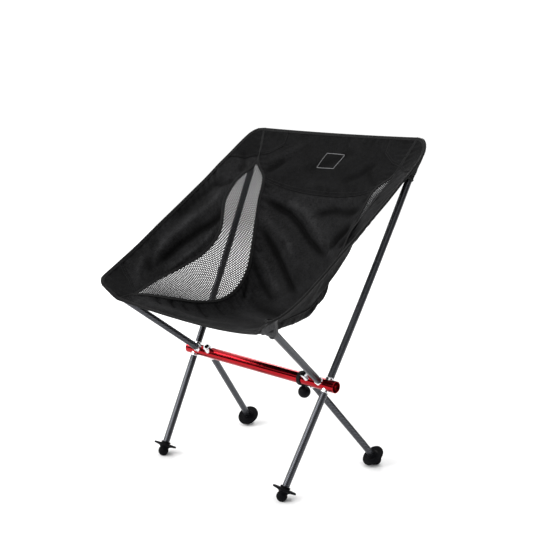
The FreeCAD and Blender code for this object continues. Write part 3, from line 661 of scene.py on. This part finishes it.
# corner patches, each bounded by a line of (cloth measure, along)
FRONT_PATCH = np.array([(0.86, .022), (1.0, .055), (1.1, .095), (1.45, .133), (1.83, .158), (1.985, .17)])
TOP_PATCH = np.array([(0.66, .985), (0.69, .93), (0.86, .898), (0.98, .89), (1.09, .878),
                      (1.5, .835), (1.985, .785)])
patches = {}
for name, side in SIDE.items():
    for place, bound in (("front", FRONT_PATCH), ("top", TOP_PATCH)):
        q = span(bound[0, 0], bound[-1, 0], 61)
        edge = np.interp(q, bound[:, 0], bound[:, 1])
        t = span(0, 1, 31)[:, None]
        v = 0.008 + (edge - 0.008) * t if place == "front" else edge + (0.992 - edge) * t
        a = within_hem(np.broadcast_to(across_cloth(q), v.shape), v) * side
        if side < 0:
            a, v = a[:, ::-1], v[:, ::-1]
        lift = (0.8 if place == "front" else 1.2) * MM
        patches[place, name] = cloth_piece(f"{place}_patch_{name}", a, v, lift, YOKE)


# ---------------------------------------------------------------- nets
NET_PITCH = 4.3 * MM
NET_HOLE = 1.17 * MM
NET_THICKNESS = 0.55 * MM
NET_MARGIN = 0.3 * MM           # whole holes keep this far from the net's edge
HOLE_SIDES = 12


def net_piece(name, side):
    """Knitted net with staggered round holes."""
    steps = np.linspace(MESH_START - 0.008, MESH_END + 0.014, 500)
    left, right = on_rail(RAILS[1], steps), on_rail(RAILS[2], steps)
    width = np.linalg.norm(right - left, axis=1)
    middle = (left + right) / 2
    run = np.concatenate([[0], np.cumsum(np.linalg.norm(np.diff(middle, axis=0), axis=1))])
    row_step = NET_PITCH * math.sqrt(3) / 2
    turn = np.arange(HOLE_SIDES) * 2 * np.pi / HOLE_SIDES + np.pi / 2
    corner = NET_PITCH / math.sqrt(3)
    reach = np.where(np.arange(HOLE_SIDES) % 2 == 0, corner, NET_PITCH / 2)
    outer = np.stack([np.cos(turn) * reach, np.sin(turn) * reach], axis=-1)
    inner = np.stack([np.cos(turn), np.sin(turn)], axis=-1) * NET_HOLE
    flat, faces, index = [], [], {}

    def vertex(u, s):
        key = (round(u / 1e-5), round(s / 1e-5))
        if key not in index:
            index[key] = len(flat)
            flat.append((u, s))
        return index[key]

    for j in range(int(run[-1] / row_step) + 1):
        s = j * row_step
        wide = np.interp(s, run, width)
        for i in range(-1, int(wide / NET_PITCH) + 2):
            u = (i + 0.5 * (j % 2)) * NET_PITCH
            ring = outer + (u, s)
            ring[:, 1] = np.clip(ring[:, 1], 0, run[-1])
            edge = np.interp(ring[:, 1], run, width)
            if (ring[:, 0] <= 0).all() or (ring[:, 0] >= edge).all():
                continue
            ring[:, 0] = np.clip(ring[:, 0], 0, edge)
            rim = [vertex(*p) for p in ring]
            hole = inner + (u, s)
            edge = np.interp(hole[:, 1], run, width)
            if ((hole > NET_MARGIN).all() and (hole[:, 0] < edge - NET_MARGIN).all()
                    and (hole[:, 1] < run[-1] - NET_MARGIN).all()):
                lip = [vertex(*p) for p in hole]
                for k in range(HOLE_SIDES):
                    m = (k + 1) % HOLE_SIDES
                    if rim[k] != rim[m]:
                        faces.append((rim[k], rim[m], lip[m], lip[k]))
                    else:
                        faces.append((rim[k], lip[m], lip[k]))
            else:
                solid = list(dict.fromkeys(rim))
                if len(solid) > 2:
                    faces.append(tuple(solid))
    flat = np.array(flat)
    along = np.interp(flat[:, 1], run, steps)
    share = np.clip(flat[:, 0] / np.interp(flat[:, 1], run, width), 0, 1)
    across = 1.0005 + 0.999 * share
    base = sling(across * side, along)
    e = 0.002
    du = sling((across + e).clip(1, 2) * side, along) - sling((across - e).clip(1.0001, 2) * side, along)
    dv = sling(across * side, along + e) - sling(across * side, along - e)
    normal = unit(np.cross(du, dv)) * side
    span_width = np.interp(flat[:, 1], run, width)
    belly = np.sin(np.pi * share) * np.minimum(span_width, 0.05)
    height = belly * (0.05 + 0.05 * np.sin(flat[:, 1] / 0.055 + side))
    points = base - normal * height[:, None]
    if side < 0:
        faces = [f[::-1] for f in faces]
    piece = mesh_object(name, points, faces, np.column_stack([flat, 0 * flat[:, 0]]), NET)
    return thicken(piece, NET_THICKNESS)


for name, side in SIDE.items():
    net_piece("net_" + name, side)
    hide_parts("side_mesh_" + name)

# ---------------------------------------------------------------- hem, seams and stitching
HEM_PROFILE = [(0.0, 0.0), (-0.3, 1.2), (-1.1, 2.1), (-2.8, 2.35), (-4.6, 2.0), (-5.4, 1.55),
               (-6.2, 2.0), (-7.4, 1.8), (-7.9, 0.8), (-7.9, -0.8), (-7.4, -1.8), (-6.2, -2.0),
               (-5.4, -1.55), (-4.6, -2.0), (-2.8, -2.35), (-1.1, -2.1), (-0.3, -1.2)]
CORNER_REACH = 0.024
CORNER_PASSES = 60
NORMAL_PASSES = 12
HEM_STITCH = (5.4 * MM, 1.62 * MM)       # in from the edge, and out from the middle
LOOP_STEP = 2.5 * MM


def edge_loop():
    """The sling's whole edge, anticlockwise seen by the sitter, corners rounded, with its normals."""
    parts = [(across_cloth(span(-2, 2, 500)), 0 * span(0, 1, 500)),
             (0 * span(0, 1, 500) + 3, span(0, 1, 500)),
             (across_cloth(span(2, -2, 500)), 0 * span(0, 1, 500) + 1),
             (0 * span(0, 1, 500) - 3, span(1, 0, 500))]
    points, normals = [], []
    for a, v in parts:
        inside_a = np.clip(a, -3 + 0.01, 3 - 0.01)
        inside_v = np.clip(v, 0.006, 0.994)
        _, normal = trace(inside_a, inside_v, shift=0.004)
        line = sling(a, v)
        line, normal = resampled(line, LOOP_STEP, normal)
        points.append(line[:-1])
        normals.append(normal[:-1])
    corners = [p[0] for p in points]
    path, normal = np.concatenate(points), np.concatenate(normals)
    near = np.min([np.linalg.norm(path - c, axis=1) for c in corners], axis=0)
    weight = smooth((CORNER_REACH - near) / (CORNER_REACH * 0.6))[:, None]
    for _ in range(CORNER_PASSES):
        average = (np.roll(path, 1, 0) + np.roll(path, -1, 0)) / 2
        path = path + (average - path) * weight * 0.5
    for _ in range(NORMAL_PASSES):
        normal = unit(np.roll(normal, 1, 0) + np.roll(normal, -1, 0) + 2 * normal)
    return path, normal


hem_path, hem_normal = edge_loop()
hem = swept("hem_loop", hem_path, hem_normal, HEM_PROFILE, TAPE, closed=True)
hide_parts("hem_tape")

BAND_PROFILE = [(3.4, 0.0), (3.1, 0.8), (2.2, 1.15), (1.0, 1.25), (0.0, 1.05), (-1.0, 1.25),
                (-2.2, 1.15), (-3.1, 0.8), (-3.4, 0.0), (-3.1, -0.8), (-2.2, -1.15), (0.0, -1.2),
                (2.2, -1.15), (3.1, -0.8)]
SEAM_STITCH = (2.0 * MM, 1.22 * MM)      # off the seam's middle line, and out from it
PATCH_STITCH_INSETS = (0.0035, 0.011)
stitch_lines = {"hem": [], "seam": [], "patch": []}


def seam_normals(first, second, along):
    """The normal halfway between the two sheets that meet at a seam."""
    _, one = trace(first, along, shift=0.003)
    _, two = trace(second, along, shift=0.003)
    normal = unit(one + two)
    for _ in range(6):
        normal[1:-1] = unit(normal[:-2] + 2 * normal[1:-1] + normal[2:])
    return normal


def band(name, rail, first, second, start, end, side, height=0.0):
    """A felled seam along a rail, with its two rows of stitches."""
    along = span(start, end, 400)
    path = sling(rail * side, along)
    normal = seam_normals(first * side, second * side, along)
    path, normal = resampled(path, LOOP_STEP, normal)
    normal = unit(normal)
    path = path + normal * height
    piece = swept(name, path, normal, BAND_PROFILE, TAPE)
    tangent = unit(np.gradient(path, axis=0))
    sideways = unit(np.cross(tangent, normal))
    for offset in (-SEAM_STITCH[0], SEAM_STITCH[0]):
        for face in (1, -1):
            row = path + sideways * offset + normal * face * SEAM_STITCH[1]
            stitch_lines["seam"].append((row, normal * face))
    return piece


for name, side in SIDE.items():
    band("panel_seam_" + name, 1, 0.98, 1.5, 0.003, 0.997, side, 0.6 * MM)
    band("net_seam_" + name, 2, 1.5, 2.02, MESH_START - 0.02, MESH_END + 0.02, side)

sideways = unit(np.cross(unit(np.roll(hem_path, -1, 0) - np.roll(hem_path, 1, 0)), hem_normal))
for face in (1, -1):
    row = hem_path - sideways * HEM_STITCH[0] + hem_normal * face * HEM_STITCH[1]
    stitch_lines["hem"].append((row, hem_normal * face))

for along, lift in ((CROSS_SEAM - 0.0025, 1.05), (CROSS_SEAM + 0.008, 1.05)):
    a = span(-0.975, 0.975, 300)
    for face in (1, -1):
        path, normal = trace(a, along, lift * MM if face > 0 else -0.5 * MM)
        stitch_lines["seam"].append((path, normal * face))

for place, name in patches:
    side = SIDE[name]
    bound = FRONT_PATCH if place == "front" else TOP_PATCH
    inward = -1 if place == "front" else 1
    for inset in PATCH_STITCH_INSETS:
        q = span(bound[0, 0] + 0.01, bound[-1, 0] - 0.03, 300)
        along = np.interp(q, bound[:, 0], bound[:, 1]) + inward * inset
        lift = (1.35 if place == "front" else 1.75) * MM
        path, normal = trace(across_cloth(q) * side, along, lift)
        stitch_lines["patch"].append((path, normal))

hem_stitches = stitches("hem_stitches", stitch_lines["hem"], THREAD)
seam_stitches = stitches("seam_stitches", stitch_lines["seam"], THREAD)
stitches("patch_stitches", stitch_lines["patch"], THREAD)

# ---------------------------------------------------------------- corner pockets
POCKET_RADIUS = 8.4 * MM
POCKET_SPREAD = 13 * MM         # how wide the cloth lifts off the pole's line
POCKET_FADE = 16 * MM           # and how soon it closes past the pole's tip
POCKET_LIFT = 1.1 * MM
SEAT_POLE_TIP = 242 * MM


def pole_line(kind, side):
    """Tip of a capped pole and its direction there: the seat pole's from the hub along a given axis and
    length, the back pole's from its cap's box and a given direction.
    """
    if kind == "front":
        axis = unit(np.array((0.2004 * side, -0.7699, 0.6059)))
        start = np.array((0.162 * side, HUB[1], HUB[2]))
        return start + axis * SEAT_POLE_TIP, axis
    cap_low, cap_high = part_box("back_pole_cap_" + ("left" if side < 0 else "right"))
    axis = unit(np.array((0.068 * side, 0.490 - 0.0545, 0.869 + 0.03)))
    middle = np.array((cap_low + cap_high) / 2)
    return middle + axis * 11.5 * MM, axis


FRONT_MOUTH = np.array([(0.94, .028), (1.1, .050), (1.45, .066), (1.83, .076), (1.985, .082)])
for name, side in SIDE.items():
    for place, bound in (("front", FRONT_MOUTH), ("top", TOP_PATCH)):
        tip, axis = pole_line("front" if place == "front" else "back", side)
        q = span(bound[0, 0] + 0.05, bound[-1, 0], 71)
        edge = np.interp(q, bound[:, 0], bound[:, 1])
        t = span(0, 1, 41)[:, None]
        v = 0.008 + (edge - 0.008) * t if place == "front" else edge + (0.992 - edge) * t
        a = within_hem(np.broadcast_to(across_cloth(q), v.shape), v) * side
        if side < 0:
            a, v = a[:, ::-1], v[:, ::-1]
        base = sling(a, v)
        normal = grid_normals(base)
        w = base - tip
        past = w @ axis
        perp = w - past[..., None] * axis
        out = unit(normal - (normal @ axis)[..., None] * axis)
        depth = (perp * out).sum(-1)
        lateral = np.linalg.norm(perp - depth[..., None] * out, axis=-1)
        bump = np.maximum(depth + POCKET_RADIUS, 0) * np.exp(-(lateral / POCKET_SPREAD) ** 2)
        bump *= smooth(1 - (past + 2 * MM) / POCKET_FADE)
        lift = -(POCKET_LIFT + bump)
        points = base + normal * (relief(a, v, base) + lift)[..., None]
        u = np.cumsum(np.linalg.norm(np.gradient(base, axis=1), axis=-1), axis=1)
        s = np.cumsum(np.linalg.norm(np.gradient(base, axis=0), axis=-1), axis=0)
        # the front pockets take the lighter webbing and lip colours, which hold painted light; the top
        # pockets keep the dark cloth and tape
        piece = mesh_object(f"{place}_pocket_cloth_{name}", points.reshape(-1, 3),
                            grid_faces(*a.shape), np.stack([u, s, 0 * u], -1).reshape(-1, 3),
                            LIT_WEBBING if place == "front" else POCKET_CLOTH)
        thicken(piece, FABRIC)
        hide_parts(("front_pocket_" if place == "front" else "back_pocket_") + name)
        lip_row = -1 if place == "front" else 0
        lip_path, lip_normal = resampled(points[lip_row], LOOP_STEP, normal[lip_row])
        wide = 4.0 if place == "front" else 2.4
        lip_profile = [(wide, 0.0), (wide * 0.85, 0.8), (0.0, 1.0), (-wide * 0.85, 0.8), (-wide, 0.0),
                       (-wide * 0.85, -0.8), (0.0, -1.0), (wide * 0.85, -0.8)]
        swept(f"{place}_pocket_lip_{name}", lip_path, unit(lip_normal), lip_profile,
              LIT_LIP if place == "front" else TAPE)

# ---------------------------------------------------------------- label
LABEL_CORNERS = ((-0.1575, 0.868), (0.0675, 0.868), (0.145, 0.9175), (-0.075, 0.9175))
LABEL_LIFT = 1.3 * MM
t, s = np.meshgrid(span(0, 1, 31), span(0, 1, 27))
c = np.array(LABEL_CORNERS)
where = ((1 - t)[..., None] * (1 - s)[..., None] * c[0] + t[..., None] * (1 - s)[..., None] * c[1]
         + t[..., None] * s[..., None] * c[2] + (1 - t)[..., None] * s[..., None] * c[3])
label = cloth_piece("label", where[..., 0], where[..., 1], LABEL_LIFT, LABEL, 0.6 * MM)
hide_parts("label_patch")
rim = np.array([(c[k] + (c[(k + 1) % 4] - c[k]) * f) for k in range(4) for f in span(0, 1, 25)[:-1]])
rim_path, rim_normal = trace(rim[:, 0], rim[:, 1], LABEL_LIFT)
label_rim = swept("label_rim", rim_path, rim_normal,
                  [(0.7, 0.0), (0.45, 0.42), (-0.45, 0.42), (-0.7, 0.0), (-0.45, -0.42), (0.45, -0.42)],
                  LABEL_EDGE, closed=True)

# ---------------------------------------------------------------- camera, floor and light
CAMERA_FROM_HUB = np.array((1.39297, -1.41992, 0.58939))
AZIMUTH, ELEVATION = math.radians(43.976), math.radians(11.162)
camera = bpy.data.cameras.new("camera")
camera.lens, camera.sensor_width = 71.76, 36
camera.clip_start = 0.05
eye = bpy.data.objects.new("camera", camera)
bpy.context.scene.collection.objects.link(eye)
right = Vector((math.cos(AZIMUTH), math.sin(AZIMUTH), 0))
back = Vector((math.sin(AZIMUTH) * math.cos(ELEVATION), -math.cos(AZIMUTH) * math.cos(ELEVATION),
               math.sin(ELEVATION)))
up = back.cross(right)
turn = Matrix((right, up, back)).transposed().to_4x4()
eye.matrix_world = Matrix.Translation(Vector(HUB + CAMERA_FROM_HUB)) @ turn
bpy.context.scene.camera = eye

floor_mesh = bpy.data.meshes.new("floor")
FLOOR = 3.0
ring = [(FLOOR * math.cos(k * math.pi / 32), FLOOR * math.sin(k * math.pi / 32), 0) for k in range(64)]
floor_mesh.from_pydata(ring, [], [tuple(range(64))])
floor = bpy.data.objects.new("floor", floor_mesh)
bpy.context.scene.collection.objects.link(floor)
floor_shader = Shader("floor", Roughness=0.9, Specular_IOR_Level=0.1)
cloud = floor_shader.node("TexNoise", {"Vector": floor_shader.coordinates((3, 3, 3)), "Scale": 1.0,
                                       "Detail": 3.0}).outputs["Fac"]
tint = floor_shader.ramp(cloud, [(0.3, grey(0.87)), (0.7, grey(0.90))])
floor_shader.link(tint, "Base Color")
floor_mesh.materials.append(floor_shader.material)


def area_light(name, place, target, size, power):
    """A soft rectangular light aimed at a point."""
    data = bpy.data.lights.new(name, "AREA")
    data.shape = "RECTANGLE"
    data.size, data.size_y = size
    data.energy = power
    lamp = bpy.data.objects.new(name, data)
    bpy.context.scene.collection.objects.link(lamp)
    lamp.location = place
    lamp.rotation_mode = "QUATERNION"
    lamp.rotation_quaternion = (Vector(target) - Vector(place)).to_track_quat("-Z", "Y")


area_light("key", (-0.6, -2.7, 2.0), (0, 0, 0.4), (1.8, 1.8), 60)
area_light("fill", (-2.3, -1.4, 1.5), (0, 0, 0.35), (0.35, 1.9), 22)
area_light("rim", (-1.6, 1.8, 1.7), (0, 0, 0.4), (0.8, 1.4), 22)

# The room: white overhead, dark at eye level so that metal shows dark edges, white where the camera looks.
world = bpy.data.worlds.new("studio")
bpy.context.scene.world = world
world.use_nodes = True
tree = world.node_tree
tree.nodes.clear()
output = tree.nodes.new("ShaderNodeOutputWorld")
path_node = tree.nodes.new("ShaderNodeLightPath")
white = tree.nodes.new("ShaderNodeBackground")
white.inputs["Color"].default_value = (1, 1, 1, 1)
white.inputs["Strength"].default_value = 1.05
studio = tree.nodes.new("ShaderNodeBackground")
studio.inputs["Strength"].default_value = 1.0
coords = tree.nodes.new("ShaderNodeTexCoord")
split = tree.nodes.new("ShaderNodeSeparateXYZ")
ramp = tree.nodes.new("ShaderNodeValToRGB")
tree.links.new(coords.outputs["Generated"], split.inputs[0])
tree.links.new(split.outputs["Z"], ramp.inputs["Fac"])
stops = [(0.0, 0.02), (0.28, 0.03), (0.42, 1.25), (1.0, 1.5)]
elements = ramp.color_ramp.elements
while len(elements) < len(stops):
    elements.new(0.5)
for element, (position, value) in zip(elements, stops):
    element.position = position
    element.color = (value, value, value, 1)
tree.links.new(ramp.outputs["Color"], studio.inputs["Color"])
mix = tree.nodes.new("ShaderNodeMixShader")
tree.links.new(path_node.outputs["Is Camera Ray"], mix.inputs["Fac"])
tree.links.new(studio.outputs[0], mix.inputs[1])
tree.links.new(white.outputs[0], mix.inputs[2])
tree.links.new(mix.outputs[0], output.inputs["Surface"])
bpy.context.scene.view_settings.view_transform = "Standard"
